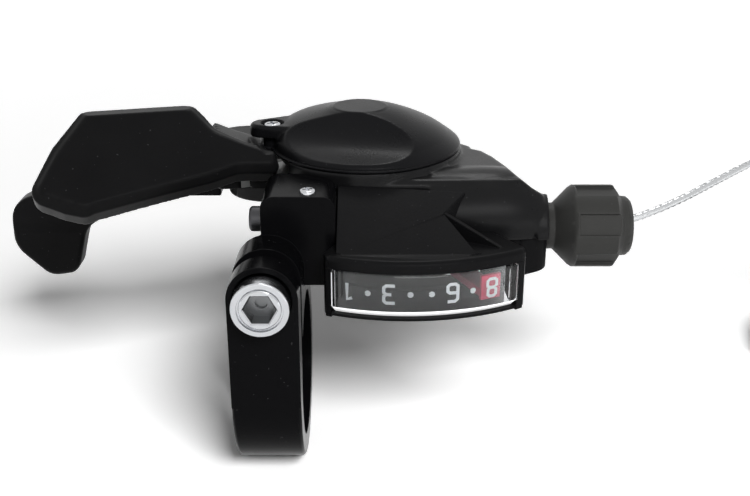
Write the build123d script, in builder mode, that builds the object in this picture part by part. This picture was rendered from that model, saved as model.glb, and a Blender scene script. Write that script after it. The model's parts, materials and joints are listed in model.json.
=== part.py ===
from build123d import *
import os
from math import atan2, cos, degrees, hypot, radians, sin, tan

os.makedirs("parts", exist_ok=True)

# Trigger gear shifter, right hand, eight speeds. Sizes in millimetres and degrees.
# The origin is the centre of the clamp's bore. X runs along the handlebar towards the cable,
# Y runs away from the rider, and Z points up with the shifter standing on its clamp ring.

# Handlebar clamp
bar_diameter = 22.2
clamp_wall = 3.3
clamp_width = 10.0
bar_gap = 0.5
clamp_slit = 2.4
ear_thickness = 4.2
bolt_height = 17.0
bolt_diameter = 4.9
bolt_head_diameter = 8.0
bolt_head_height = 4.3
bolt_recess = 1.3
hex_key = 4.0

# Mounting post on the clamp
post_left = -1.1
post_width = 10.9
post_front = -2.6
post_back = 8.0
post_bottom = 14.0
post_top = 27.9
post_corner = 2.0

# Main shaft and gearing
shaft_x = 14.0
shaft_y = 20.5
shaft_diameter = 6.0
gears = 8
pull_per_gear = 2.8
wire_diameter = 1.2
reel_lip = 1.15
reel_clearance = 0.891

# Housing
floor_z = 10.6
split_z = 19.0
shoulder_z = 27.6
rim_z = 28.8
drum_r = 15.4
drum_step = 0.4
wall = 1.5
nose_x = 36.4
nose_r = 5.2
nose_front = 3.6
nose_back = 14.6
nose_corner = 1.6
collar_r = 6.3
collar_x = 41.8
collar_length = 1.9

# Top cover
cover_top = 35.2
cover_skin = 1.5
scoop_r = 14.0

# Release lever
release_x = -2.5
release_y = 27.5
lobe_r = 7.0
lobe_bottom = 18.6
lobe_top = 23.25

# Gear display
display_x = 20.2
display_front = -9.5
display_r = 31.0
display_depth = 9.5
display_left = 246.2
display_right = 304.9
display_bottom = 10.9
display_top = 20.6
lens_depth = 1.4
flag_gap = 0.7
flag_thickness = 0.6

# Adjuster
knob_r = 6.4
knob_length = 13.1
neck_r = 3.6
knob_flutes = 6
socket_r = 2.6

shaft = (shaft_x, shaft_y)
release = (release_x, release_y)
display_y = display_front + display_r
dial_centre = (display_x, display_y)
cavity_r = drum_r - wall
reel_flange = cavity_r - drum_step - reel_clearance
reel_r = reel_flange - reel_lip
gear_angle = degrees(pull_per_gear / reel_r)
cable_y = shaft_y - reel_r
cable_z = split_z
clamp_r = bar_diameter / 2 + clamp_wall
bar_r = bar_diameter / 2


def level(z):
    """Horizontal plane at a height."""
    return Plane.XY.offset(z)


def facing(y):
    """Upright plane seen from the rider: local x is X and local y is Z, and its normal points to the rider."""
    return Plane((0, y, 0), x_dir=(1, 0, 0), z_dir=(0, -1, 0))


def across(x):
    """Upright plane square to the bar: local x is Y and local y is Z."""
    return Plane((x, 0, 0), x_dir=(0, 1, 0), z_dir=(1, 0, 0))


def polar(centre, r, angle):
    return (centre[0] + r * cos(radians(angle)), centre[1] + r * sin(radians(angle)))


def sector(centre, r0, r1, a0, a1):
    """Flat piece of a ring between two radii and two angles."""
    with BuildSketch() as shape:
        with BuildLine():
            Line(polar(centre, r0, a0), polar(centre, r1, a0))
            CenterArc(centre, r1, a0, a1 - a0)
            Line(polar(centre, r1, a1), polar(centre, r0, a1))
            CenterArc(centre, r0, a0, a1 - a0)
        make_face()
    return shape.sketch


def hull_of(*circles):
    """Outline drawn tight round a set of circles, each (x, y, r)."""
    with BuildSketch() as shape:
        for x, y, r in circles:
            with Locations((x, y)):
                Circle(r)
        make_hull()
    return shape.sketch


def save(piece, name):
    piece.part.label = name
    export_step(piece.part, f"parts/{name}.step")


# Handlebar clamp: a ring with two ears and a post that carries the housing
front_face = -clamp_r
slit_front = front_face + ear_thickness
slit_back = slit_front + clamp_slit
ear_r = clamp_width / 2
post_x = post_left + post_width / 2
post_z = (post_bottom + post_top) / 2
post_height = post_top - post_bottom
tongue_width = 6.2
tongue_height = 5.8
tongue_x = post_x
tongue_z = 23.6
tongue_front = post_front + 0.9
cross_y = 2.6
cross_z = tongue_z - 1.0
cross_r = 1.2
cross_head_r = 1.9
cross_head = 1.3
lock_x = tongue_x + 1.4
lock_y = post_front + 1.7
lock_r = 0.8
lock_head = 0.6
bolt_end = -4.2

with BuildPart() as handlebar_clamp:
    with BuildSketch(across(0)):
        Circle(clamp_r)
    extrude(amount=clamp_width / 2, both=True)
    chamfer(handlebar_clamp.edges().filter_by(GeomType.CIRCLE), 0.4)
    with BuildSketch(facing(front_face)):
        with Locations((0, bolt_height)):
            Circle(ear_r)
        with Locations((0, bolt_height / 2)):
            Rectangle(clamp_width, bolt_height)
    extrude(amount=-(post_front + 0.6 - front_face))
    with BuildSketch(facing(post_front)):
        with Locations((post_x, post_z)):
            RectangleRounded(post_width, post_height, post_corner)
    extrude(amount=-(post_back - post_front))
    with BuildSketch(across(0)):
        Circle(bar_r)
        with Locations(((slit_front + slit_back) / 2, bolt_height / 2 + ear_r)):
            Rectangle(clamp_slit, bolt_height + 2 * ear_r)
    extrude(amount=clamp_width, both=True, mode=Mode.SUBTRACT)
    with BuildSketch(facing(front_face)):
        with Locations((0, bolt_height)):
            Circle(bolt_diameter / 2 + 0.05)
    extrude(amount=-(bolt_end + 0.6 - front_face), mode=Mode.SUBTRACT)
    with BuildSketch(facing(front_face)):
        with Locations((0, bolt_height)):
            Circle(bolt_head_diameter / 2 + 0.15)
    extrude(amount=-bolt_recess, mode=Mode.SUBTRACT)
    with BuildSketch(level(post_bottom - 1)):
        with Locations(shaft):
            Circle(drum_r + 0.15)
    extrude(amount=post_height + 2, mode=Mode.SUBTRACT)
    with BuildSketch(facing(tongue_front - 0.1)):
        with Locations((tongue_x, tongue_z)):
            Rectangle(tongue_width + 0.2, tongue_height + 0.2)
    extrude(amount=-(post_back + 1 - tongue_front), mode=Mode.SUBTRACT)
    with BuildSketch(across(post_left)):
        with Locations((cross_y, cross_z)):
            Circle(cross_r + 0.03)
    extrude(amount=post_width - 1.0, mode=Mode.SUBTRACT)
    with BuildSketch(level(post_top)):
        with Locations((lock_x, lock_y)):
            Circle(lock_r + 0.03)
    extrude(amount=-3, mode=Mode.SUBTRACT)
save(handlebar_clamp, "handlebar_clamp")

with BuildPart() as clamp_bolt:
    seat = front_face + bolt_recess
    with BuildSketch(facing(seat)):
        with Locations((0, bolt_height)):
            Circle(bolt_head_diameter / 2)
    extrude(amount=bolt_head_height)
    fillet(clamp_bolt.edges().group_by(Axis.Y)[0], 0.7)
    with BuildSketch(facing(seat)):
        with Locations((0, bolt_height)):
            Circle(bolt_diameter / 2)
    extrude(amount=-(bolt_end - seat))
    with BuildSketch(facing(seat - bolt_head_height)):
        with Locations((0, bolt_height)):
            RegularPolygon(hex_key / 2, 6, major_radius=False, rotation=30)
    extrude(amount=-2.6, mode=Mode.SUBTRACT)
save(clamp_bolt, "clamp_bolt")

with BuildPart() as post_screw:
    with BuildSketch(across(post_left)):
        with Locations((cross_y, cross_z)):
            Circle(cross_head_r)
    extrude(amount=-cross_head)
    fillet(post_screw.edges().group_by(Axis.X)[0], 0.5)
    with BuildSketch(across(post_left)):
        with Locations((cross_y, cross_z)):
            Circle(cross_r)
    extrude(amount=post_width - 1.2)
    with BuildSketch(across(post_left - cross_head)):
        with Locations((cross_y, cross_z)):
            RegularPolygon(1.0, 6, major_radius=False)
    extrude(amount=0.9, mode=Mode.SUBTRACT)
save(post_screw, "post_screw")

with BuildPart() as lock_screw:
    with BuildSketch(level(post_top)):
        with Locations((lock_x, lock_y)):
            Circle(lock_r + 0.4)
    extrude(amount=lock_head)
    fillet(lock_screw.edges().group_by(Axis.Z)[-1], 0.3)
    with BuildSketch(level(post_top)):
        with Locations((lock_x, lock_y)):
            Circle(lock_r)
    extrude(amount=-(post_top - tongue_z - tongue_height / 2 - 0.02))
    with BuildSketch(level(post_top + lock_head)):
        with Locations((lock_x, lock_y)):
            Rectangle(1.5, 0.3)
            Rectangle(0.3, 1.5)
    extrude(amount=-0.35, mode=Mode.SUBTRACT)
save(lock_screw, "lock_screw")

# Lower housing: a cup under the reel with a square nose under the cable
lower_r = drum_r - drum_step
cup_floor = floor_z + 1.6
nose = (nose_x, cable_y + 1.6)
nose_half = (nose_back - nose_front) / 2
nose_middle = (nose_front + nose_back) / 2
nose_bottom = 14.2
knob_x = collar_x + 0.1
knob_end = knob_x + knob_length
sleeve_r = 3.55
sleeve_x = 32.0
channel_r = 1.6
arm_z = cup_floor + 1.1
arm_thickness = 1.2


def nose_plan(r):
    """Outline from the drum to the square nose under the cable."""
    with BuildSketch() as shape:
        add(hull_of((*shaft, r), (collar_x - nose_half, nose_middle, nose_half)))
        with Locations((collar_x - nose_half / 2, nose_middle)):
            RectangleRounded(nose_half, 2 * nose_half, nose_corner)
    return shape.sketch


with BuildPart() as lower_housing:
    with BuildSketch(level(floor_z)):
        with Locations(shaft):
            Circle(lower_r)
    extrude(amount=split_z - floor_z)
    fillet(lower_housing.edges().group_by(Axis.Z)[0], 2.0)
    with BuildSketch(level(floor_z + 2.2)):
        add(nose_plan(lower_r))
    extrude(amount=split_z - floor_z - 2.2)
    with BuildSketch(facing(nose_front - 1)):
        with BuildLine():
            Polyline((drum_r + shaft_x + 1, floor_z), (collar_x + 1, nose_bottom), (collar_x + 1, floor_z - 1), (drum_r + shaft_x + 1, floor_z - 1), close=True)
        make_face()
    extrude(amount=-(nose_back - nose_front + 12), mode=Mode.SUBTRACT)
    with BuildSketch(level(cup_floor)):
        with Locations(shaft):
            Circle(lower_r - wall)
    extrude(amount=split_z - cup_floor, mode=Mode.SUBTRACT)
    with BuildSketch(across(shaft_x + 5)):
        with Locations((cable_y, cable_z)):
            Circle(channel_r)
    extrude(amount=collar_x - shaft_x, mode=Mode.SUBTRACT)
    with BuildSketch(across(sleeve_x)):
        with Locations((cable_y, cable_z)):
            Circle(sleeve_r + 0.02)
    extrude(amount=collar_x - sleeve_x, mode=Mode.SUBTRACT)
    with BuildSketch(level(arm_z - 0.5)):
        add(sector(dial_centre, 2, 12, 226, 324))
        add(sector(dial_centre, 11.9, 26, 240, 307))
    extrude(amount=arm_thickness + 1.0, mode=Mode.SUBTRACT)
    with BuildSketch(level(floor_z)):
        with Locations(shaft):
            Circle(shaft_diameter / 2 - 0.5 + 0.02)
        with Locations(dial_centre):
            Circle(1.22)
    extrude(amount=5, mode=Mode.SUBTRACT)
save(lower_housing, "lower_housing")

# Upper housing: drum, falling shoulder over the cable boss, pivot lobe, and the tongue in the post
lobe_floor = lobe_bottom + 0.65
lobe_roof = lobe_top - 0.6
arm_slot_top = 21.0
lid_gap = 0.35
lid_line = ((shaft_x + 12, shoulder_z), (33.5, shoulder_z - 0.4), (37.5, 25.8), (collar_x, 23.2))
barrel_rings = ((24.0, 9.5, 20.9, 7.2), (30.0, 9.5, 20.9, 7.3), (35.5, 9.5, 20.9, 7.2), (collar_x - 0.8, 9.6, 20.4, 6.0))


def above_lid(drop):
    """Face seen from the rider that holds all above the shoulder's falling line."""
    with BuildSketch(facing(-10)) as shape:
        with BuildLine():
            fall = Spline(*[(x, z - drop) for x, z in lid_line], tangents=((1, 0), (0.75, -0.66)))
            Polyline(fall @ 1, (collar_x + 4, 22), (collar_x + 4, 40), (shaft_x + 12, 40), fall @ 0)
        make_face()
    return shape.sketch


def barrel(extra):
    """Swollen form over the cable, above the parting line."""
    with BuildPart() as shape:
        for x, y, z, r in barrel_rings:
            with BuildSketch(across(x)):
                with Locations((y, z)):
                    Circle(r + extra)
        loft()
        with BuildSketch(level(split_z)):
            with Locations((nose_x, cable_y)):
                Rectangle(100, 40)
        extrude(amount=-20, mode=Mode.SUBTRACT)
    return shape.part


with BuildPart() as barrel_form:
    add(barrel(0))
    add(above_lid(lid_gap))
    extrude(amount=-60, mode=Mode.SUBTRACT)

with BuildPart() as upper_housing:
    with BuildSketch(level(split_z)):
        add(hull_of((*shaft, drum_r), (*nose, nose_r)))
    extrude(amount=shoulder_z - split_z)
    add(above_lid(0))
    extrude(amount=-60, mode=Mode.SUBTRACT)
    top_edges = [e for e in upper_housing.edges() if e.center().Z > split_z + 3 and e.center().X > shaft_x + 6
                 and abs(e.tangent_at(0.5).Z) < 0.9 and abs(e.tangent_at(0.5).Y) < 0.95]
    fillet(top_edges, 1.2)
    with BuildSketch(level(split_z)):
        with Locations(shaft):
            Circle(drum_r)
    extrude(amount=rim_z - split_z)
    add(barrel_form.part)
    with BuildSketch(across(collar_x)):
        with Locations((cable_y, cable_z)):
            Circle(collar_r)
    extrude(amount=-collar_length)
    with BuildSketch(level(split_z)):
        with Locations((nose_x, cable_y)):
            Rectangle(100, 40)
    extrude(amount=-20, mode=Mode.SUBTRACT)
    with BuildSketch(level(lobe_bottom)):
        add(hull_of((*release, lobe_r), (release_x + 9, release_y - 1.2, lobe_r)))
    extrude(amount=lobe_top - lobe_bottom)
    with BuildSketch(level(lobe_bottom)):
        with Locations(shaft):
            Circle(lower_r + 0.1)
    extrude(amount=split_z - lobe_bottom, mode=Mode.SUBTRACT)
    with BuildSketch(facing(tongue_front)):
        with Locations((tongue_x, tongue_z)):
            Rectangle(tongue_width, tongue_height)
    extrude(amount=-(shaft_y - drum_r / 2 - tongue_front))
    with BuildSketch(level(split_z)):
        with Locations(shaft):
            Circle(cavity_r)
    extrude(amount=rim_z - split_z, mode=Mode.SUBTRACT)
    with BuildSketch(level(lobe_floor)):
        add(hull_of((*release, lobe_r - 1.2), (release_x + 9, release_y - 0.5, lobe_r - 1.6)))
    extrude(amount=lobe_roof - lobe_floor, mode=Mode.SUBTRACT)
    with BuildSketch(level(lobe_floor)):
        add(sector(release, 3, lobe_r + 2, 152, 222))
    extrude(amount=arm_slot_top - lobe_floor, mode=Mode.SUBTRACT)
    with BuildSketch(level(lobe_top)):
        add(sector(shaft, cavity_r - 2, drum_r + 14, 116, 219))
    extrude(amount=rim_z, mode=Mode.SUBTRACT)
    with BuildSketch(across(shaft_x + 5)):
        with Locations((cable_y, cable_z)):
            Circle(channel_r)
    extrude(amount=collar_x - shaft_x, mode=Mode.SUBTRACT)
    with BuildSketch(across(sleeve_x)):
        with Locations((cable_y, cable_z)):
            Circle(sleeve_r + 0.02)
    extrude(amount=collar_x - sleeve_x, mode=Mode.SUBTRACT)
    with BuildSketch(across(post_left)):
        with Locations((cross_y, cross_z)):
            Circle(cross_r + 0.03)
    extrude(amount=post_width, mode=Mode.SUBTRACT)
    with BuildSketch(level(lobe_bottom)):
        with Locations(release):
            Circle(1.5)
    extrude(amount=lobe_top, mode=Mode.SUBTRACT)
save(upper_housing, "upper_housing")

# Upper plate: holds the top of the shaft and takes the cover screw
plate_z = 27.1
plate_thickness = 1.15
screw_x = -0.9
screw_y = shaft_y - 1.5
head_z = 31.9
tab_r = 1.35

with BuildPart() as upper_plate:
    with BuildSketch(level(plate_z)):
        with Locations(shaft):
            Circle(cavity_r - 0.04)
        add(hull_of((*shaft, 5), (screw_x, screw_y, tab_r)))
        with Locations(shaft):
            Circle(shaft_diameter / 2 - 0.48, mode=Mode.SUBTRACT)
        with Locations((screw_x, screw_y)):
            Circle(0.82, mode=Mode.SUBTRACT)
    extrude(amount=plate_thickness)
save(upper_plate, "upper_plate")

# Top cover: a lopsided dome with a flat disc, a scooped front and a tip over the lever that takes the screw
cover_x = shaft_x - 0.9
cover_rings = ((29.4, 14.2, 15.1), (31.6, 13.3, 13.4), (33.2, 12.8, 10.6), (34.3, 13.2, 7.3), (cover_top - 0.2, cover_x, 4.9))
tip_x = -2.2
tip_r = 2.3
tip_bottom = 30.75
tip_top = 32.8
scoop_axis = (cover_x, 5.0, 43.9)

with BuildPart() as top_cover:
    with BuildSketch(level(rim_z)):
        with Locations((cover_rings[0][1], shaft_y)):
            Circle(cover_rings[0][2])
    extrude(amount=cover_rings[0][0] - rim_z)
    for z, x, r in cover_rings:
        with BuildSketch(level(z)):
            with Locations((x, shaft_y)):
                Circle(r)
    loft()
    with BuildSketch(level(cover_top - 1)):
        with Locations((cover_x, shaft_y)):
            Circle(4.4)
    extrude(amount=1)
    with BuildSketch(Plane(scoop_axis, x_dir=(0, 0, 1), z_dir=(1, -0.2, 0))):
        Circle(scoop_r)
    extrude(amount=40, both=True, mode=Mode.SUBTRACT)
    with BuildSketch(level(tip_bottom)):
        add(hull_of((7, shaft_y, 5.5), (tip_x, screw_y + 0.2, tip_r)))
    extrude(amount=tip_top - tip_bottom)
    tip_edges = [e for e in top_cover.edges() if abs(e.center().Z - tip_top) < 0.01 and e.center().X < screw_x]
    fillet(tip_edges, 0.6)
    with BuildSketch(level(rim_z)):
        with Locations(shaft):
            Circle(cavity_r - 0.3)
    with BuildSketch(level(cover_top - 3.3)):
        with Locations(shaft):
            Circle(5.2)
    loft(ruled=True, mode=Mode.SUBTRACT)
    with BuildSketch(level(plate_z + plate_thickness)):
        with Locations((screw_x, screw_y)):
            Circle(tab_r + 0.25)
    extrude(amount=tip_bottom - plate_z - plate_thickness)
    with BuildSketch(level(head_z)):
        with Locations((screw_x, screw_y)):
            Circle(1.5)
    extrude(amount=5, mode=Mode.SUBTRACT)
    with BuildSketch(level(plate_z)):
        with Locations((screw_x, screw_y)):
            Circle(0.82)
    extrude(amount=8, mode=Mode.SUBTRACT)
save(top_cover, "top_cover")

with BuildPart() as cover_screw:
    with BuildSketch(level(head_z)):
        with Locations((screw_x, screw_y)):
            Circle(1.35)
    extrude(amount=0.8)
    fillet(cover_screw.edges().group_by(Axis.Z)[-1], 0.4)
    with BuildSketch(level(head_z)):
        with Locations((screw_x, screw_y)):
            Circle(0.8)
    extrude(amount=-(head_z - plate_z))
    with BuildSketch(level(head_z + 0.8)):
        with Locations((screw_x, screw_y)):
            Rectangle(1.8, 0.4)
            Rectangle(0.4, 1.8)
    extrude(amount=-0.45, mode=Mode.SUBTRACT)
save(cover_screw, "cover_screw")

# Shaft and the pieces stacked on it
reel_bottom = 15.4
reel_top = 21.2
ratchet_top = 22.6
lever_z = 24.3
lever_thickness = 1.5
shaft_r = shaft_diameter / 2
run_fit = 0.04

with BuildPart() as main_shaft:
    for r, z0, z1 in ((shaft_r - 0.5, floor_z, plate_z + 3.6), (shaft_r, cup_floor, plate_z),
                      (shaft_r + 0.5, reel_bottom - 0.6, reel_bottom - 0.03)):
        with BuildSketch(level(z0)):
            with Locations(shaft):
                Circle(r)
        extrude(amount=z1 - z0)
    chamfer(main_shaft.edges().group_by(Axis.Z)[-1], 0.4)
save(main_shaft, "main_shaft")

with BuildPart() as shaft_nut:
    with BuildSketch(level(plate_z + plate_thickness)):
        with Locations(shaft):
            RegularPolygon(4.0, 6, major_radius=False)
            Circle(shaft_r - 0.48, mode=Mode.SUBTRACT)
    extrude(amount=2.2)
save(shaft_nut, "shaft_nut")

with BuildPart() as spacer_washer:
    with BuildSketch(level(ratchet_top + 0.03)):
        with Locations(shaft):
            Circle(5.2)
            Circle(shaft_r + 0.02, mode=Mode.SUBTRACT)
    extrude(amount=lever_z - ratchet_top - 0.06)
save(spacer_washer, "spacer_washer")

with BuildPart() as lever_washer:
    with BuildSketch(level(lever_z + lever_thickness + 0.03)):
        with Locations(shaft):
            Circle(5.2)
            Circle(shaft_r + 0.02, mode=Mode.SUBTRACT)
    extrude(amount=0.4)
save(lever_washer, "lever_washer")

# Thumb lever: steel plate inside, moulded block and paddle outside
lever_angle = 195.0
lever_width = 7.0
lever_reach = 21.0
feed_pin_r = cavity_r - 2.6
feed_pin_angle = 255.0
feed_pin = polar(shaft, feed_pin_r, feed_pin_angle)

with BuildPart() as thumb_lever_plate:
    with BuildSketch(level(lever_z)):
        add(hull_of((*shaft, 6.5), (*feed_pin, 2.2)))
        with Locations(Location(shaft, lever_angle)):
            Rectangle(lever_reach, lever_width, align=(Align.MIN, Align.CENTER))
        with Locations(shaft):
            Circle(shaft_r + run_fit, mode=Mode.SUBTRACT)
        with Locations(feed_pin):
            Circle(0.82, mode=Mode.SUBTRACT)
    extrude(amount=lever_thickness)
save(thumb_lever_plate, "thumb_lever_plate")

paddle_tilt = 42.0
paddle_yaw = 14.0
paddle_thickness = 4.5
paddle_centre = (-21.5, 4.5, 30.4)
out_dir = Vector(-cos(radians(paddle_yaw)), -sin(radians(paddle_yaw)), 0)
face_dir = Vector(sin(radians(paddle_yaw)) * cos(radians(paddle_tilt)),
                  -cos(radians(paddle_yaw)) * cos(radians(paddle_tilt)), sin(radians(paddle_tilt)))
paddle_face = Plane(paddle_centre, x_dir=-out_dir, z_dir=face_dir)
block_inner = shaft_x - screw_x + tab_r + 0.5
shield_r = block_inner + 1.2
shield_end = 118.0
shield_bottom = lobe_top + 0.2
root = polar(shaft, block_inner - 2, lever_angle)
root_plane = Plane((*root, 26.4), x_dir=(-sin(radians(lever_angle)), cos(radians(lever_angle)), 0),
                   z_dir=(cos(radians(lever_angle)), sin(radians(lever_angle)), 0))
tip_angle = 190.0
tip = polar(shaft, 24.0, tip_angle)
tip_plane = Plane((*tip, 27.9), x_dir=(-sin(radians(tip_angle)), cos(radians(tip_angle)), 0),
                  z_dir=(cos(radians(tip_angle)), sin(radians(tip_angle)), 0))

with BuildPart() as thumb_paddle:
    with BuildSketch(paddle_face):
        with BuildLine():
            FilletPolyline((-5.1, 9.5), (10.4, 9.5), (13.6, 5.2), (23.0, 0.9), (23.0, -2.7), (16.5, -2.2), (12.5, -3.3),
                           (-6.4, -7.2), (-13.4, -3.4), radius=(1.6, 2.6, 4, 1.4, 1.4, 2, 2, 1.6, 1.6), close=True)
        make_face()
    extrude(amount=-paddle_thickness)
    chamfer(thumb_paddle.faces().sort_by(Axis((0, 0, 0), face_dir))[-1].edges(), 1.2)
    with BuildSketch(root_plane):
        RectangleRounded(9.5, 6.0, 1.2)
    with BuildSketch(tip_plane):
        RectangleRounded(9.5, 9.0, 2.2)
    loft()
    with BuildSketch(level(shield_bottom)):
        add(sector(shaft, block_inner - 1, shield_r, shield_end, lever_angle))
    extrude(amount=rim_z - shield_bottom - 0.1)
    with BuildSketch(level(0)):
        with Locations(shaft):
            Circle(block_inner)
    extrude(amount=60, mode=Mode.SUBTRACT)
    with BuildSketch(level(tip_bottom - 0.3)):
        with Locations(shaft):
            Circle(shaft_x - tip_x + tip_r + 0.3)
    extrude(amount=20, mode=Mode.SUBTRACT)
    with BuildSketch(level(lever_z)):
        with Locations(Location(shaft, lever_angle)):
            Rectangle(lever_reach, lever_width, align=(Align.MIN, Align.CENTER))
    extrude(amount=lever_thickness, mode=Mode.SUBTRACT)
save(thumb_paddle, "thumb_paddle")

with BuildPart() as feed_pawl_pin:
    with BuildSketch(level(reel_top + 0.1)):
        with Locations(feed_pin):
            Circle(0.8)
    extrude(amount=lever_z + lever_thickness - reel_top - 0.1)
save(feed_pawl_pin, "feed_pawl_pin")

pawl_z = reel_top + 0.15
pawl_thickness = 1.2
tooth_tip_r = feed_pin_r - 2.3
tooth_root_r = tooth_tip_r - 1.4
pawl_r = tooth_tip_r + 0.35
hold_angle = 97.0

with BuildPart() as feed_pawl:
    with BuildSketch(level(pawl_z)):
        with BuildLine():
            Polyline(polar(shaft, feed_pin_r + 1.3, 253), polar(shaft, feed_pin_r - 0.1, 238), polar(shaft, pawl_r + 0.95, 225),
                     polar(shaft, pawl_r, 224.6), polar(shaft, pawl_r, 228.4), polar(shaft, pawl_r + 0.4, 240),
                     polar(shaft, pawl_r + 0.65, 253), close=True)
        make_face()
        with Locations(feed_pin):
            Circle(1.5)
            Circle(0.8 + run_fit, mode=Mode.SUBTRACT)
    extrude(amount=pawl_thickness)
save(feed_pawl, "feed_pawl")

# Return springs: flat strips wound in a spiral of half circles round the shaft
def spiral(r0, r1, halves, thickness):
    step = (r1 - r0) / halves
    with BuildSketch() as shape:
        for k in range(halves):
            centre = (shaft_x + step * (k % 2), shaft_y)
            r = r0 + step * k
            add(sector(centre, r - thickness / 2, r + thickness / 2, 180 * (k % 2), 180 * (k % 2) + 180))
    return shape.sketch


with BuildPart() as thumb_spring:
    with BuildSketch(level(lever_z + lever_thickness + 0.45)):
        add(spiral(shaft_r + 0.3, tooth_tip_r, 6, 0.5))
    extrude(amount=0.8)
save(thumb_spring, "thumb_spring")

# Cable reel, its ratchet and its spring
peg_r = 1.0
peg_ring = 4.75
slot_travel = gear_angle * (gears - 1)
pin_gap = hypot(shaft_x - display_x, shaft_y - display_y)
pin_bearing = degrees(atan2(shaft_y - display_y, shaft_x - display_x))
peg = polar(shaft, peg_ring, pin_bearing + slot_travel / 2)
groove = 1.5
head_r = 1.6
head_length = 3.6
head_x = shaft_x + head_length / 2

with BuildPart() as cable_reel:
    with BuildSketch(level(reel_bottom)):
        with Locations(shaft):
            Circle(reel_flange)
            Circle(shaft_r + run_fit, mode=Mode.SUBTRACT)
    extrude(amount=reel_top - reel_bottom)
    with BuildSketch(level(cable_z - groove / 2)):
        with Locations(shaft):
            Circle(reel_flange + 1)
            Circle(reel_r - wire_diameter / 2 - 0.06, mode=Mode.SUBTRACT)
    extrude(amount=groove, mode=Mode.SUBTRACT)
    with BuildSketch(level(reel_top)):
        with Locations(shaft):
            Circle(tooth_tip_r - 0.2)
            Circle(shaft_r + 1.4, mode=Mode.SUBTRACT)
    extrude(amount=-1.8, mode=Mode.SUBTRACT)
    with BuildSketch(across(head_x + 0.05)):
        with Locations((cable_y - 2, cable_z)):
            Rectangle(2 * head_r + 4.1, 2 * head_r + 0.1)
    extrude(amount=-head_length - 0.1, mode=Mode.SUBTRACT)
    with BuildSketch(level(reel_bottom)):
        with Locations(peg):
            Circle(peg_r)
    extrude(amount=-(reel_bottom - arm_z + 0.1))
save(cable_reel, "cable_reel")

with BuildPart() as ratchet_plate:
    teeth = []
    for k in range(18):
        a = hold_angle + gear_angle * k
        teeth += [polar(shaft, tooth_tip_r, a), polar(shaft, tooth_root_r, a), polar(shaft, tooth_root_r, a + 3)]
    plain = [polar(shaft, tooth_root_r, hold_angle + gear_angle * 18 + 3 + 10 * k) for k in range(9)]
    with BuildSketch(level(reel_top)):
        with BuildLine():
            Polyline(*teeth, *plain, close=True)
        make_face()
        with Locations(shaft):
            Circle(shaft_r + run_fit, mode=Mode.SUBTRACT)
    extrude(amount=ratchet_top - reel_top)
save(ratchet_plate, "ratchet_plate")

with BuildPart() as reel_spring:
    with BuildSketch(level(reel_top - 1.6)):
        add(spiral(shaft_r + 1.7, tooth_tip_r - 0.8, 6, 0.4))
    extrude(amount=1.4)
save(reel_spring, "reel_spring")

with BuildPart() as cable_head:
    with BuildSketch(across(head_x)):
        with Locations((cable_y, cable_z)):
            Circle(head_r)
    extrude(amount=-head_length)
save(cable_head, "cable_head")

# Release lever: steel plate on its own pin, moulded trigger outside, and the hold pawl above it
release_z = 19.4
release_plate = 1.4
release_reach = 15.5
release_width = 3.4

with BuildPart() as release_pin:
    with BuildSketch(level(lobe_bottom)):
        with Locations(release):
            Circle(1.48)
    extrude(amount=lobe_top - lobe_bottom)
save(release_pin, "release_pin")

with BuildPart() as release_lever_plate:
    with BuildSketch(level(release_z)):
        with Locations(release):
            Circle(4.2)
            Rectangle(release_reach, release_width, align=(Align.MAX, Align.CENTER))
            Circle(1.48 + run_fit, mode=Mode.SUBTRACT)
    extrude(amount=release_plate)
save(release_lever_plate, "release_lever_plate")

trigger_left = -47.2
trigger_bottom = 3.9
trigger_width = 5.2
arm_root = release_x - lobe_r - 1.4
finger_r = 8.0

with BuildPart() as release_trigger:
    with BuildSketch(facing(release_y + trigger_width / 2)):
        with BuildLine():
            FilletPolyline((arm_root, 18.9), (arm_root, 21.5), (-25, 22.0), (-38, 20.6), (trigger_left + 0.2, 17.5), (trigger_left, 9.5),
                           (trigger_left + 5.7, trigger_bottom), (trigger_left + 11, trigger_bottom + 0.7), (trigger_left + 13.3, 12.4),
                           (-23, 18.2), radius=(0.5, 0.5, 20, 12, 4.5, 5, 3.2, 2.6, 4, 20), close=True)
        make_face()
    extrude(amount=trigger_width)
    rim_edges = [e for e in release_trigger.edges() if abs(e.tangent_at(0.5).Y) < 0.1 and e.center().X < arm_root - 1]
    fillet(rim_edges, 1.1)
    with BuildSketch(across(trigger_left - 2)):
        with Locations((release_y - trigger_width / 2 - finger_r + 0.7, 15.5)):
            Circle(finger_r)
    extrude(amount=16, mode=Mode.SUBTRACT)
    with BuildSketch(level(release_z)):
        with Locations(release):
            Rectangle(release_reach, release_width, align=(Align.MAX, Align.CENTER))
    extrude(amount=release_plate, mode=Mode.SUBTRACT)
save(release_trigger, "release_trigger")

with BuildPart() as hold_pawl:
    with BuildSketch(level(pawl_z)):
        with BuildLine():
            Polyline((release_x, release_y + 2.5), polar(shaft, tooth_tip_r + 1.6, 98), polar(shaft, tooth_tip_r + 1.4, 95.5),
                     polar(shaft, pawl_r, 96), polar(shaft, pawl_r, 104), polar(shaft, pawl_r + 0.45, 117),
                     polar(shaft, pawl_r + 1.35, 138), (release_x + 4, release_y - 2), (release_x, release_y - 2.5), close=True)
        make_face()
        with Locations(release):
            Circle(2.9)
            Circle(1.48 + run_fit, mode=Mode.SUBTRACT)
    extrude(amount=pawl_thickness)
save(hold_pawl, "hold_pawl")

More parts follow.
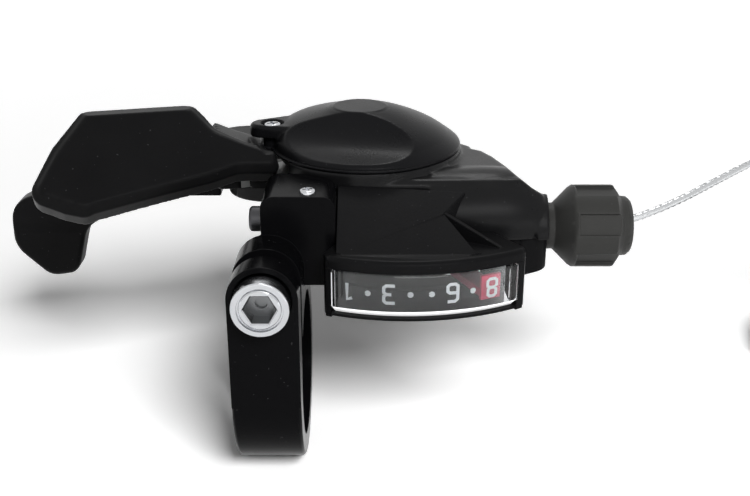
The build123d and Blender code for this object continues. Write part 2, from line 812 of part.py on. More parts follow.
with BuildPart() as release_spring:
    with BuildSketch(level(release_z + release_plate + 0.03)):
        add(sector(release, 3.1, 3.6, -20, 250))
        with Locations(polar(release, 3.35, 250)):
            Rectangle(4, 0.5, rotation=160, align=(Align.MIN, Align.CENTER))
        with Locations(polar(release, 3.35, -20)):
            Rectangle(3, 0.5, rotation=60, align=(Align.MIN, Align.CENTER))
    extrude(amount=0.3)
save(release_spring, "release_spring")

# Gear pointer: a bell crank under the reel, driven by the reel's peg, with its red flag behind the lens
peg_swing = degrees(atan2(peg_ring * sin(radians(slot_travel / 2)), pin_gap + peg_ring * cos(radians(slot_travel / 2))))
slot_angle = pin_bearing + peg_swing
flag_angle = 295.0
flag_r = display_r - lens_depth - flag_gap - flag_thickness
flag_z = 14.8
flag_width = 3.2
flag_height = 3.8
slot_half = peg_r + 0.2
pin_r = 1.2
flag_at = polar(dial_centre, flag_r, flag_angle)
flag_plane = Plane((*flag_at, flag_z), x_dir=(-sin(radians(flag_angle)), cos(radians(flag_angle)), 0),
                   z_dir=(cos(radians(flag_angle)), sin(radians(flag_angle)), 0))

with BuildPart() as pointer:
    with BuildSketch(level(arm_z)):
        add(hull_of((*dial_centre, 3.2), (*polar(dial_centre, pin_gap, slot_angle - peg_swing), 4.9),
                    (*polar(dial_centre, pin_gap, slot_angle + peg_swing), 4.9), (*polar(dial_centre, 11.6, slot_angle), 2.8)))
        with Locations(Location(dial_centre, flag_angle)):
            Rectangle(flag_r + 0.3, flag_width, align=(Align.MIN, Align.CENTER))
        with Locations(dial_centre):
            Circle(pin_r + run_fit, mode=Mode.SUBTRACT)
        add(sector(dial_centre, pin_gap - shaft_r - 0.35, pin_gap + shaft_r + 0.35, slot_angle - peg_swing,
                   slot_angle + peg_swing), mode=Mode.SUBTRACT)
        for side in (-1, 1):
            with Locations(polar(dial_centre, pin_gap, slot_angle + side * peg_swing)):
                Circle(shaft_r + 0.35, mode=Mode.SUBTRACT)
        with Locations(Location(dial_centre, slot_angle)):
            with Locations((pin_gap, 0)):
                Rectangle(12.6 - pin_gap, 2 * slot_half, align=(Align.MIN, Align.CENTER), mode=Mode.SUBTRACT)
    extrude(amount=arm_thickness)
    with BuildSketch(flag_plane):
        Rectangle(flag_width, flag_height)
    extrude(amount=flag_thickness)
save(pointer, "pointer")

with BuildPart() as pointer_pin:
    with BuildSketch(level(floor_z)):
        with Locations(dial_centre):
            Circle(pin_r)
    extrude(amount=arm_z + arm_thickness + 0.4 - floor_z)
save(pointer_pin, "pointer_pin")

# Gear display: curved box with a sloping hood that reaches up to the drum
lens_back = display_r - lens_depth
frame_left = display_left + 1.5
frame_right = display_right - 2.0
window_bottom = display_bottom + 0.45
window_top = display_top - 1.9
inner_r = display_r - display_depth
cavity_back = inner_r + 0.7
cavity_floor = window_bottom + 0.9
hood_top = 26.8
hood_back = 5.0
hood_front = -6.6
fin_top = Vector(25.6, 0.3, 24.3)
fin_end = Vector(33.5, -4.3, display_top + 0.15)
fin_width = 0.8
panel_end = (29.5, -5.6)
fin_run = Vector(fin_end.X - fin_top.X, fin_end.Y - fin_top.Y, 0)
fin_length = fin_run.length
fin_plane = Plane((fin_top.X, fin_top.Y, 0), x_dir=fin_run, z_dir=(fin_run.Y, -fin_run.X, 0))

with BuildPart() as display_housing:
    with BuildSketch(level(display_bottom)):
        add(sector(dial_centre, inner_r - 6, display_r, display_left, display_right))
    extrude(amount=display_top - display_bottom)
    corner = display_housing.edges().filter_by(Axis.Z).filter_by(
        lambda e: hypot(e.center().X - display_x, e.center().Y - display_y) > display_r - 0.5)
    fillet(corner, 1.4)
    with BuildSketch(level(display_top - 1.0)):
        with BuildLine():
            Polyline((post_left + post_width + 0.1, 8), (post_left + post_width + 0.1, -12), (panel_end[0] + 4.8, -12), panel_end,
                     (fin_top.X, fin_top.Y), (fin_top.X + 3.7, fin_top.Y + 4.1), (fin_top.X + 4.7, 8), close=True)
        make_face()
        with Locations(dial_centre):
            Circle(display_r - 1.4, mode=Mode.INTERSECT)
    extrude(amount=hood_top - display_top + 1.0)
    with BuildSketch(across(0)):
        with BuildLine():
            Polyline((hood_back, hood_top), (hood_front, display_top), (hood_front - 8, display_top), (hood_front - 8, hood_top + 5),
                     (hood_back, hood_top + 5), close=True)
        make_face()
    extrude(amount=60, both=True, mode=Mode.SUBTRACT)
    with BuildSketch(fin_plane):
        with BuildLine():
            Polyline((0, display_top - 0.8), (fin_length, display_top - 0.8), (fin_length, fin_end.Z), (0, fin_top.Z), close=True)
        make_face()
    extrude(amount=-fin_width)
    with BuildSketch(level(display_bottom - 1)):
        add(nose_plan(drum_r))
    extrude(amount=30, mode=Mode.SUBTRACT)
    add(barrel(0.05), mode=Mode.SUBTRACT)
    with BuildSketch(facing(post_front - 0.1)):
        with Locations((post_x, post_z)):
            Rectangle(post_width + 0.2, post_height + 12)
    extrude(amount=-20, mode=Mode.SUBTRACT)
    with BuildSketch(level(window_bottom)):
        add(sector(dial_centre, lens_back - 0.05, display_r + 2, frame_left, frame_right))
    extrude(amount=window_top - window_bottom, mode=Mode.SUBTRACT)
    with BuildSketch(level(cavity_floor)):
        add(sector(dial_centre, cavity_back, display_r, frame_left, frame_right))
    extrude(amount=window_top - cavity_floor, mode=Mode.SUBTRACT)
    with BuildSketch(across(0)):
        Circle(bar_r + bar_gap)
    extrude(amount=60, mode=Mode.SUBTRACT)
    with BuildSketch(level(arm_z - 0.5)):
        add(sector(dial_centre, inner_r - 8, inner_r - 1, 240, 307))
        add(sector(dial_centre, inner_r - 2, cavity_back + 2, frame_left, frame_right))
    extrude(amount=arm_thickness + 1.0, mode=Mode.SUBTRACT)
save(display_housing, "display_housing")

with BuildPart() as display_lens:
    with BuildSketch(level(window_bottom + 0.03)):
        add(sector(dial_centre, lens_back, display_r + 0.3, frame_left + 0.06, frame_right - 0.06))
    extrude(amount=window_top - window_bottom - 0.06)
    front = display_lens.faces().filter_by(GeomType.CYLINDER).sort_by(SortBy.AREA)[-1]
    chamfer(front.edges().sort_by(Axis.Z)[0], 1.2)
save(display_lens, "display_lens")

with BuildPart() as dial_plate:
    with BuildSketch(level(arm_z + arm_thickness + 0.4)):
        add(sector(dial_centre, cavity_back + 0.03, cavity_back + 0.6, frame_left + 0.05, frame_right - 0.05))
    extrude(amount=window_top - arm_z - arm_thickness - 0.43)
save(dial_plate, "dial_plate")

# Cable adjuster: threaded sleeve held by the housing halves, and a fluted knob on a stem
stem_r = 2.4
stem_x = 34.5
socket_depth = 0.69 * knob_length
flute_width = 3.2
flute_depth = 0.7

with BuildPart() as adjuster_sleeve:
    with BuildSketch(across(sleeve_x)):
        with Locations((cable_y, cable_z)):
            Circle(sleeve_r)
            Circle(stem_r + 0.06, mode=Mode.SUBTRACT)
    extrude(amount=collar_x - sleeve_x)
save(adjuster_sleeve, "adjuster_sleeve")

with BuildPart() as adjuster_knob:
    with BuildSketch(Plane((0, cable_y, cable_z), x_dir=(1, 0, 0), z_dir=(0, -1, 0))):
        with BuildLine():
            Polyline((stem_x, 0.9), (stem_x, stem_r), (knob_x, stem_r), (knob_x, neck_r), (knob_x + 1.2, neck_r),
                     (knob_x + 3.6, knob_r - 0.4), (knob_x + 4.2, knob_r), (knob_end - 2.7, knob_r), (knob_end - 1.6, knob_r - 1.7),
                     (knob_end - 0.6, knob_r - 1.8), (knob_end, knob_r - 2.3), (knob_end, socket_r),
                     (knob_end - socket_depth, socket_r), (knob_end - socket_depth, 0.9), close=True)
        make_face()
    revolve(axis=Axis((0, cable_y, cable_z), (1, 0, 0)))
    with BuildSketch(across(knob_x + 4.5)):
        with Locations((cable_y, cable_z)):
            with PolarLocations(knob_r - flute_depth, knob_flutes, start_angle=38):
                Rectangle(3, flute_width, align=(Align.MIN, Align.CENTER))
    extrude(amount=10, mode=Mode.SUBTRACT)
save(adjuster_knob, "adjuster_knob")

# Inner wire: straight inside, then a free run down to a tied coil on the floor
wire_r = wire_diameter / 2
bend_x = knob_end - socket_depth + 1.0
floor = -clamp_r
coil_x = 102.5
coil_y = 28.0
coil_r = 12.0
coil_section = 6.0
coil_z = floor + 0.4 + coil_section / 2

with BuildPart() as cable_core:
    with BuildSketch(across(head_x)):
        with Locations((cable_y, cable_z)):
            Circle(wire_r)
    extrude(amount=bend_x - head_x)
save(cable_core, "cable_core")

route = [(bend_x, cable_y, cable_z), (knob_end - 2, cable_y, cable_z), (62.0, 11.3, 21.6), (70.0, 15.8, 23.9), (78.5, 21.0, 26.1),
         (87.0, 26.0, 26.3), (95.0, 31.0, 23.5), (102.0, 36.0, 17.5), (108.0, 39.2, 10.0), (112.6, 38.6, 1.5),
         (114.6, 34.0, -5.5), (coil_x + coil_r, coil_y, coil_z + 2.4)]


def bend_radii(points):
    """Radius of the arc at each inner point of a route."""
    radii = []
    for a, b, c in zip(points, points[1:], points[2:]):
        before, after = Vector(*b) - Vector(*a), Vector(*c) - Vector(*b)
        turn = before.get_angle(after)
        radii.append(0.45 * min(before.length, after.length) / tan(radians(turn / 2)))
    return radii


with BuildPart() as cable_run:
    radii = bend_radii(route)
    print("bend radii", [round(r, 1) for r in radii])
    with BuildLine() as path:
        FilletPolyline(*route, radius=radii)
    with BuildSketch(across(bend_x)):
        with Locations((cable_y, cable_z)):
            Circle(wire_r)
    sweep(path=path.wires()[0])
save(cable_run, "cable_run")

with BuildPart() as cable_coil:
    with BuildSketch(facing(coil_y)):
        with Locations((coil_x + coil_r, coil_z)):
            RegularPolygon(coil_section / 2, 8, major_radius=False, rotation=22.5)
    revolve(axis=Axis((coil_x, coil_y, 0), (0, 0, 1)))
save(cable_coil, "cable_coil")

with BuildPart() as coil_tie:
    with BuildSketch(facing(coil_y)):
        with Locations((coil_x - coil_r, coil_z)):
            RegularPolygon(coil_section / 2 + 0.4, 8, major_radius=False, rotation=22.5)
            RegularPolygon(coil_section / 2, 8, major_radius=False, rotation=22.5, mode=Mode.SUBTRACT)
    revolve(axis=Axis((coil_x, coil_y, 0), (0, 0, 1)), revolution_arc=16)
save(coil_tie, "coil_tie")
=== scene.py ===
import bpy
import json
from math import atan2, cos, degrees, hypot, pi, radians, sin
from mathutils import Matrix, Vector


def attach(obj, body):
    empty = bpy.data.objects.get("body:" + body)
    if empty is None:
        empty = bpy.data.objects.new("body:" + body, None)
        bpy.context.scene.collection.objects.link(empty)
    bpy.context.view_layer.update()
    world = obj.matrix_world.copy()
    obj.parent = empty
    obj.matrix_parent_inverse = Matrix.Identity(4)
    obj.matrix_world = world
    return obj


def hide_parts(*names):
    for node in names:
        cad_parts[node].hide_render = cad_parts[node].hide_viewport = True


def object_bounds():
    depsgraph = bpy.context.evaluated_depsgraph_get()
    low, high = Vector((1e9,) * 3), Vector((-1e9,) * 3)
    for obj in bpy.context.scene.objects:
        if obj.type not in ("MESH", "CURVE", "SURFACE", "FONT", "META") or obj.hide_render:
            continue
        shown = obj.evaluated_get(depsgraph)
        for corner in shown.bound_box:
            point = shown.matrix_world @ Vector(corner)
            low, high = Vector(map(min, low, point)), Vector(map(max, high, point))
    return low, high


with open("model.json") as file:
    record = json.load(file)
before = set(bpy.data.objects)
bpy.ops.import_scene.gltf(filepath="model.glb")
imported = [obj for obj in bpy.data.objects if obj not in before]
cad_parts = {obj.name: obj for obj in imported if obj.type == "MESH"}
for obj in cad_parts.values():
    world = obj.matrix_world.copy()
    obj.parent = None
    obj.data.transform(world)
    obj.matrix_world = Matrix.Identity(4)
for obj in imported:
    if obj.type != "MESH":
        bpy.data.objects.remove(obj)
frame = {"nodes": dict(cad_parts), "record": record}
cad_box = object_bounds()
MM = 0.001

# Sizes that the scene shares with the solids, in millimetres and degrees
FLOOR_Z = -14.4
CABLE_Y = 9.041
CABLE_Z = 19.0
KNOB_END = 55.0
SOCKET_DEPTH = 9.039
WIRE_DIAMETER = 1.2
DIAL_CENTRE = (20.2, 21.5)
DISPLAY_R = 31.0
DISPLAY_TOP = 20.6
DISPLAY_RIGHT = 304.9
LENS_BACK = 29.6
BOLT_HEIGHT = 17.0
BOLT_SEAT = -13.1
BOLT_HEAD_R = 4.0
BOLT_HEAD = 4.3
BOLT_R = 2.45
BOLT_END = -4.2
TIP_SCREW = (-0.9, 19.0, 31.9)
LOCK_SCREW = (5.75, -0.9, 27.9)
CROSS_SCREW = (-1.1, 2.6, 22.6)
COIL_CENTRE = (102.5, 28.0)
COIL_R = 12.0
COIL_Z = -11.0


def mm(*point):
    """A point given in millimetres, in metres."""
    return Vector(point) * MM


# Hand tools: small steps that every piece is made with
def clear_selection():
    bpy.ops.object.select_all(action="DESELECT")


def take(obj):
    """Makes one object the only selected and active one."""
    clear_selection()
    obj.select_set(True)
    bpy.context.view_layer.objects.active = obj
    return obj


def edit(obj):
    take(obj)
    bpy.ops.object.mode_set(mode="EDIT")
    bpy.ops.mesh.select_all(action="DESELECT")


def done():
    bpy.ops.object.mode_set(mode="OBJECT")


def pick_faces(obj, test):
    """In edit mode, selects the faces whose centre and normal pass the test."""
    done()
    for face in obj.data.polygons:
        face.select = test(face.center / MM, face.normal)
    picked = {v for face in obj.data.polygons if face.select for v in face.vertices}
    for vertex in obj.data.vertices:
        vertex.select = vertex.index in picked
    for line in obj.data.edges:
        line.select = all(v in picked for v in line.vertices)
    bpy.ops.object.mode_set(mode="EDIT")
    bpy.ops.mesh.select_mode(type="FACE")


def pick_edges(obj, test):
    """In edit mode, selects the edges whose two ends pass the test."""
    done()
    for face in obj.data.polygons:
        face.select = False
    for vertex in obj.data.vertices:
        vertex.select = False
    for line in obj.data.edges:
        line.select = all(test(obj.data.vertices[v].co / MM) for v in line.vertices)
    bpy.ops.object.mode_set(mode="EDIT")
    bpy.ops.mesh.select_mode(type="EDGE")


def apply_modifier(obj, kind, **settings):
    take(obj)
    modifier = obj.modifiers.new(kind.lower(), kind)
    for name, value in settings.items():
        setattr(modifier, name, value)
    bpy.ops.object.modifier_apply(modifier=modifier.name)
    return obj


def settle(obj):
    """Puts an object's place, turn and scale into its mesh."""
    take(obj)
    bpy.ops.object.transform_apply(location=True, rotation=True, scale=True)
    return obj


def smooth(obj, angle=32):
    """Shades round faces smoothly and keeps flat faces flat up to their edges."""
    take(obj)
    bpy.ops.object.shade_smooth_by_angle(angle=radians(angle))
    return apply_modifier(obj, "WEIGHTED_NORMAL", keep_sharp=True, weight=60)


def break_edges(obj, width, angle=35, segments=2):
    """Takes the sharpness off a piece's edges, as a mould or a file does."""
    return apply_modifier(obj, "BEVEL", width=width * MM, segments=segments, limit_method="ANGLE",
                          angle_limit=radians(angle), use_clamp_overlap=False)


# A rod that faces the rider is also turned about its axis, so that a hexagon lies as in the photograph
TURNS = {"up": (0, 0, 0), "rider": (radians(90), radians(30), 0), "left": (0, radians(-90), 0)}


def rod(name, radius, length, base, way="up", sides=48):
    """A round or many-sided rod that starts at a base point and runs one way."""
    step = {"up": Vector((0, 0, 1)), "rider": Vector((0, -1, 0)), "left": Vector((-1, 0, 0))}[way]
    clear_selection()
    bpy.ops.mesh.primitive_cylinder_add(vertices=sides, radius=radius * MM, depth=length * MM,
                                        rotation=TURNS[way], location=mm(*base) + step * (length / 2) * MM)
    bpy.context.object.name = name
    return settle(bpy.context.object)


def block(size, centre, turn=0.0):
    """A block that is turned about its upright axis."""
    clear_selection()
    bpy.ops.mesh.primitive_cube_add(size=1, location=mm(*centre), rotation=(0, 0, radians(turn)))
    bpy.context.object.scale = mm(*size)
    return settle(bpy.context.object)


def cut(obj, *cutters):
    """Takes the cutters' shapes out of a piece."""
    for cutter in cutters:
        apply_modifier(obj, "BOOLEAN", operation="DIFFERENCE", solver="EXACT", object=cutter)
        bpy.data.objects.remove(cutter)
    return obj


def join(*pieces):
    take(pieces[0])
    for piece in pieces[1:]:
        piece.select_set(True)
    bpy.ops.object.join()
    return pieces[0]


def dress(obj, finish, body, nodes=()):
    """Gives a finished piece its material and its body, and hides the solids it stands for."""
    obj.data.materials.clear()
    obj.data.materials.append(finish)
    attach(obj, body)
    if nodes:
        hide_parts(*nodes)
    return obj


def copy_of(node, name):
    """A copy of a solid with its triangles joined into whole faces."""
    solid = frame["nodes"][node]
    skin = bpy.data.objects.new(name, solid.data.copy())
    bpy.context.scene.collection.objects.link(skin)
    edit(skin)
    bpy.ops.mesh.select_all(action="SELECT")
    bpy.ops.mesh.remove_doubles(threshold=0.000004)
    bpy.ops.mesh.dissolve_limited(angle_limit=radians(0.5))
    done()
    return skin


def skin_of(node, name, edge=0.0, angle=32):
    """A solid's copy with broken edges and smooth shading."""
    skin = copy_of(node, name)
    if edge:
        break_edges(skin, edge)
    return smooth(skin, angle)


def swell(obj, reach, flat):
    """Grows a piece along its normals, square to one direction, by a reach that depends on the place."""
    normals = [vertex.normal.copy() for vertex in obj.data.vertices]
    for vertex, normal in zip(obj.data.vertices, normals):
        way = normal - flat * normal.dot(flat)
        vertex.co += way * reach(vertex.co / MM) * MM


def shift(obj, test, step):
    """Moves the points that pass the test by a step in millimetres."""
    for vertex in obj.data.vertices:
        if test(vertex.co / MM):
            vertex.co += mm(*step)


def ramp(value, start, end):
    """Zero before start, one past end, and a straight rise between."""
    return min(1.0, max(0.0, (value - start) / (end - start)))


SOFT_ANGLE = 60


def soften(obj, grain, rounds):
    """Lets a piece's joints flow into each other, as in one soft moulding."""
    apply_modifier(obj, "REMESH", mode="VOXEL", voxel_size=grain * MM)
    return apply_modifier(obj, "SMOOTH", factor=0.5, iterations=rounds)


def soft_skin_of(node, name, grain, rounds, *extras):
    """A solid's copy that flows into itself and into the extra forms."""
    skin = copy_of(node, name)
    if extras:
        join(skin, *extras)
    return smooth(soften(skin, grain, rounds), SOFT_ANGLE)


# Materials: nodes written as expressions
class Signal:
    """A shader socket that takes part in sums."""

    def __init__(self, tree, socket):
        self.tree, self.socket = tree, socket

    def math(self, operation, first, second=None):
        node = self.tree.nodes.new("ShaderNodeMath")
        node.operation = operation
        for slot, value in zip(node.inputs, (first, second)):
            if isinstance(value, Signal):
                self.tree.links.new(value.socket, slot)
            elif value is not None:
                slot.default_value = value
        return Signal(self.tree, node.outputs[0])

    def __add__(self, other):
        return self.math("ADD", self, other)

    def __radd__(self, other):
        return self.math("ADD", other, self)

    def __sub__(self, other):
        return self.math("SUBTRACT", self, other)

    def __rsub__(self, other):
        return self.math("SUBTRACT", other, self)

    def __mul__(self, other):
        return self.math("MULTIPLY", self, other)

    def __rmul__(self, other):
        return self.math("MULTIPLY", other, self)

    def __truediv__(self, other):
        return self.math("DIVIDE", self, other)

    def __gt__(self, other):
        return self.math("GREATER_THAN", self, other)


class Finish:
    """One material or world tree under construction."""

    def __init__(self, name, owner=None):
        self.owner = owner or bpy.data.materials.new(name)
        self.owner.use_nodes = True
        self.tree = self.owner.node_tree
        self.tree.nodes.clear()

    def node(self, kind, settings=None, sockets=None, out=0):
        """Adds a node: settings are set first, then its sockets get values or links."""
        node = self.tree.nodes.new("ShaderNode" + kind)
        for name, value in (settings or {}).items():
            setattr(node, name, value)
        for name, value in (sockets or {}).items():
            slot = node.inputs[name]
            if isinstance(value, Signal):
                self.tree.links.new(value.socket, slot)
            else:
                slot.default_value = value
        return Signal(self.tree, node.outputs[out])

    def place(self):
        return self.node("TexCoord", out="Object")

    def noise(self, scale, detail=2.0, roughness=0.5, vector=None):
        return self.node("TexNoise", None, {"Vector": vector or self.place(), "Scale": scale,
                                            "Detail": detail, "Roughness": roughness})

    def blend(self, factor, first, second):
        """Mixes two colours, each of them a socket or three numbers."""
        first, second = ((*colour, 1) if isinstance(colour, tuple) else colour for colour in (first, second))
        return self.node("Mix", {"data_type": "RGBA"}, {0: factor, 6: first, 7: second}, out=2)

    def bump(self, height, distance, strength=1.0):
        return self.node("Bump", None, {"Height": height, "Distance": distance, "Strength": strength})

    def end(self, shader):
        kind = "World" if isinstance(self.owner, bpy.types.World) else "Material"
        target = self.tree.nodes.new("ShaderNodeOutput" + kind)
        self.tree.links.new(shader.socket, target.inputs["Surface"])
        return self.owner


def grained_plastic(name, colour, rough, grain, gloss=0.055, dust=0.25):
    """Moulded plastic with a fine spark-eroded grain, faint smears and a few specks of dust."""
    f = Finish(name)
    fine = f.noise(grain, 3.0, 0.6)
    smear = f.noise(140.0, 3.0, 0.55)
    specks = f.noise(2100.0, 1.0) > 0.765
    base = f.blend(smear * 0.7, colour, tuple(c * 1.6 + 0.001 for c in colour))
    base = f.blend(specks * dust, base, (0.09, 0.09, 0.092))
    return f.end(f.node("BsdfPrincipled", None, {
        "Base Color": base, "Specular IOR Level": gloss, "Normal": f.bump(fine, 0.00004, 0.4),
        "Roughness": rough + 0.16 * (smear - 0.5) + 0.08 * (fine - 0.5)}))


def brushed_metal(name, colour, rough, scale, axis):
    """Plated or machined metal with fine tool lines square to an axis."""
    f = Finish(name)
    scales = tuple(scale * (1.0 if k == axis else 0.03) for k in range(3))
    stretch = f.node("Mapping", None, {"Vector": f.place(), "Scale": scales})
    lines = f.noise(1.0, 2.0, 0.6, stretch)
    cloud = f.noise(260.0, 2.0)
    base = f.blend(cloud * 0.6, colour, tuple(c * 0.8 for c in colour))
    return f.end(f.node("BsdfPrincipled", None, {
        "Base Color": base, "Metallic": 1.0, "Normal": f.bump(lines, 0.00002, 0.35),
        "Roughness": rough + 0.14 * (lines - 0.5) + 0.08 * (cloud - 0.5)}))


def gloss_paint():
    """Thick black stove paint with a little orange peel and dust."""
    f = Finish("gloss_black_paint")
    peel = f.noise(420.0, 2.0)
    dust = f.noise(1900.0, 1.0) > 0.77
    base = f.blend(dust * 0.3, (0.0026, 0.0026, 0.003), (0.08, 0.08, 0.082))
    return f.end(f.node("BsdfPrincipled", None, {
        "Base Color": base, "Roughness": 0.2 + 0.12 * (peel - 0.5) + dust * 0.2, "Specular IOR Level": 0.035,
        "Normal": f.bump(peel, 0.00006, 0.2)}))


def clear_window():
    """Clear moulded acrylic: see-through, with gloss that grows towards its edges."""
    f = Finish("clear_acrylic")
    wave = f.noise(160.0, 2.0)
    rise = f.bump(wave, 0.00002, 0.3)
    gloss = f.node("BsdfGlossy", None, {"Color": (1, 1, 1, 1), "Roughness": 0.05, "Normal": rise})
    through = f.node("BsdfTransparent", None, {"Color": (0.93, 0.945, 0.95, 1)})
    edge = f.node("Fresnel", None, {"IOR": 1.46})
    return f.end(f.node("MixShader", None, {0: edge, 1: through, 2: gloss}))


def painted_highlight_rim():
    """Cut edge of the acrylic, painted white with a little emission as a painted highlight and glow."""
    f = Finish("lens_rim_painted_highlight")
    cloud = f.noise(420.0, 2.0)
    base = f.blend(cloud * 0.5, (0.88, 0.89, 0.9), (0.78, 0.79, 0.8))
    # The white base and the emission below are a painted highlight and glow
    glow = f.blend(cloud * 0.5, (1, 1, 1), (0.85, 0.86, 0.88))
    return f.end(f.node("BsdfPrincipled", None, {
        "Base Color": base, "Roughness": 0.3 + 0.1 * (cloud - 0.5), "Emission Color": glow,
        "Emission Strength": 0.6}))


def red_moulding():
    """Glossy red plastic of the pointer, a little uneven."""
    f = Finish("crimson_moulding")
    cloud = f.noise(500.0, 2.0)
    base = f.blend(cloud * 0.5, (0.68, 0.025, 0.1), (0.76, 0.05, 0.15))
    return f.end(f.node("BsdfPrincipled", None, {
        "Base Color": base, "Roughness": 0.35 + 0.1 * (cloud - 0.5), "Normal": f.bump(cloud, 0.00002, 0.4)}))


def white_ink():
    """Printed white ink with the grain of its screen."""
    f = Finish("white_dial_ink")
    print_grain = f.noise(3200.0, 2.0)
    base = f.blend(print_grain * 0.5, (0.9, 0.9, 0.91), (0.76, 0.77, 0.78))
    return f.end(f.node("BsdfPrincipled", None, {
        "Base Color": base, "Roughness": 0.55 + 0.1 * (print_grain - 0.5)}))


satin_black = grained_plastic("satin_black_plastic", (0.0034, 0.0034, 0.0037), 0.36, 2400.0)
shell_black = grained_plastic("shell_black_plastic", (0.0036, 0.0036, 0.0039), 0.3, 2400.0, 0.13)
cover_black = grained_plastic("soft_sheen_black_plastic", (0.0038, 0.0038, 0.0043), 0.3, 2600.0, 0.07, 0.15)
lever_black = grained_plastic("lever_black_plastic", (0.0032, 0.0032, 0.0034), 0.34, 2000.0)
knob_black = grained_plastic("knob_black_plastic", (0.02, 0.02, 0.019), 0.5, 1700.0, 0.2)
black_paint = gloss_paint()
chrome = brushed_metal("bright_chrome", (0.56, 0.57, 0.59), 0.17, 9000.0, 1)
# Darker, rougher steel for the inside of the bolt's socket: partly a duller finish, partly painted shade of
# the recess
shaded_socket_metal = brushed_metal("darkened_socket_painted_shade", (0.2, 0.205, 0.21), 0.35, 6000.0, 1)
black_steel = brushed_metal("blackened_steel", (0.07, 0.07, 0.074), 0.4, 7000.0, 2)
plated_steel = brushed_metal("zinc_plated_steel", (0.5, 0.505, 0.5), 0.33, 6000.0, 0)
spring_steel = brushed_metal("blued_spring_steel", (0.3, 0.31, 0.34), 0.3, 8000.0, 2)
wire_steel = brushed_metal("bright_wire_steel", (0.6, 0.61, 0.62), 0.27, 5000.0, 0)
reel_white = grained_plastic("natural_reel_plastic", (0.62, 0.62, 0.59), 0.45, 2400.0, 0.4)
tie_white = grained_plastic("white_tie_plastic", (0.78, 0.78, 0.77), 0.5, 1800.0, 0.4)
dial_grey = grained_plastic("dark_dial_plastic", (0.028, 0.029, 0.031), 0.5, 2600.0, 0.3, 0.1)
clear_acrylic = clear_window()
lens_rim_glow = painted_highlight_rim()
crimson = red_moulding()
dial_ink = white_ink()

# Camera at the photograph's angle
EYE = mm(15.5, -146.7, 79.7)
LOOK_DOWN = 22.5
FOCAL_PIXELS = 1070.0
FRAME_WIDTH = 750.0
SENSOR_WIDTH = 36.0

camera_data = bpy.data.cameras.new("photo_camera")
camera = bpy.data.objects.new("photo_camera", camera_data)
bpy.context.scene.collection.objects.link(camera)
camera.location = EYE
camera.rotation_euler = (radians(90 - LOOK_DOWN), 0, 0)
camera_data.sensor_width = SENSOR_WIDTH
camera_data.lens = SENSOR_WIDTH * FOCAL_PIXELS / FRAME_WIDTH
camera_data.clip_start = 0.005
camera_data.clip_end = 20.0
bpy.context.scene.camera = camera

# Inner wire: the route's NURBS line, then a stranded tube that follows it
bend_x = KNOB_END - SOCKET_DEPTH + 1.0
route = [(bend_x, CABLE_Y, CABLE_Z), (KNOB_END - 2, CABLE_Y, CABLE_Z), (62.0, 11.3, 21.6),
         (70.0, 15.8, 23.9), (78.5, 21.0, 26.1), (87.0, 26.0, 26.3), (95.0, 31.0, 23.5),
         (102.0, 36.0, 17.5), (108.0, 39.2, 10.0), (112.6, 38.6, 1.5), (114.6, 34.0, -5.5)]
POINTS_PER_TURN = 16
COIL_ROWS = (4, 5, 4, 5, 4)
ROW_PITCH = 1.05
STRANDS = 8
STRAND_DEPTH = 0.09
LAY_LENGTH = 9.0
RING_STEP = 0.75


def coil_points():
    """Control points of the coil's turns, row by row from the top, out and back across each row."""
    points = []
    outward = False
    angle = 0.0
    turns = []
    for row, count in enumerate(COIL_ROWS):
        z = COIL_Z + ROW_PITCH * ((len(COIL_ROWS) - 1) / 2 - row)
        radii = [COIL_R + WIRE_DIAMETER * (k - (count - 1) / 2) for k in range(count)]
        turns += [(r, z) for r in (radii if outward else reversed(radii))]
        outward = not outward
    for k, (r, z) in enumerate(turns):
        next_r, next_z = turns[min(k + 1, len(turns) - 1)]
        for step in range(POINTS_PER_TURN):
            share = max(0.0, (step / POINTS_PER_TURN - 0.75) * 4)
            near_r, near_z = r + (next_r - r) * share, z + (next_z - z) * share
            a = -angle * 2 * pi
            points.append((COIL_CENTRE[0] + near_r * cos(a), COIL_CENTRE[1] + near_r * sin(a), near_z))
            angle += 1 / POINTS_PER_TURN
    return points


def wire_line(points):
    """The wire's centre line, read from a NURBS spline through its control points."""
    data = bpy.data.curves.new("wire_line", "CURVE")
    data.dimensions = "3D"
    spline = data.splines.new("NURBS")
    spline.points.add(len(points) - 1)
    for slot, point in zip(spline.points, points):
        slot.co = (*mm(*point), 1)
    spline.order_u = 3
    spline.use_endpoint_u = True
    spline.resolution_u = 10
    holder = bpy.data.objects.new("wire_line", data)
    bpy.context.scene.collection.objects.link(holder)
    bpy.context.view_layer.update()
    line = bpy.data.meshes.new_from_object(holder)
    centres = [v.co.copy() for v in line.vertices]
    bpy.data.objects.remove(holder)
    return centres


def spaced(centres, step):
    """The same line with points a fixed step apart."""
    out, left = [centres[0]], step
    for a, b in zip(centres, centres[1:]):
        span = (b - a).length
        while span >= left and span > 0:
            a = a + (b - a) * (left / span)
            out.append(a)
            span, left = (b - a).length, step
        left -= span
    return out


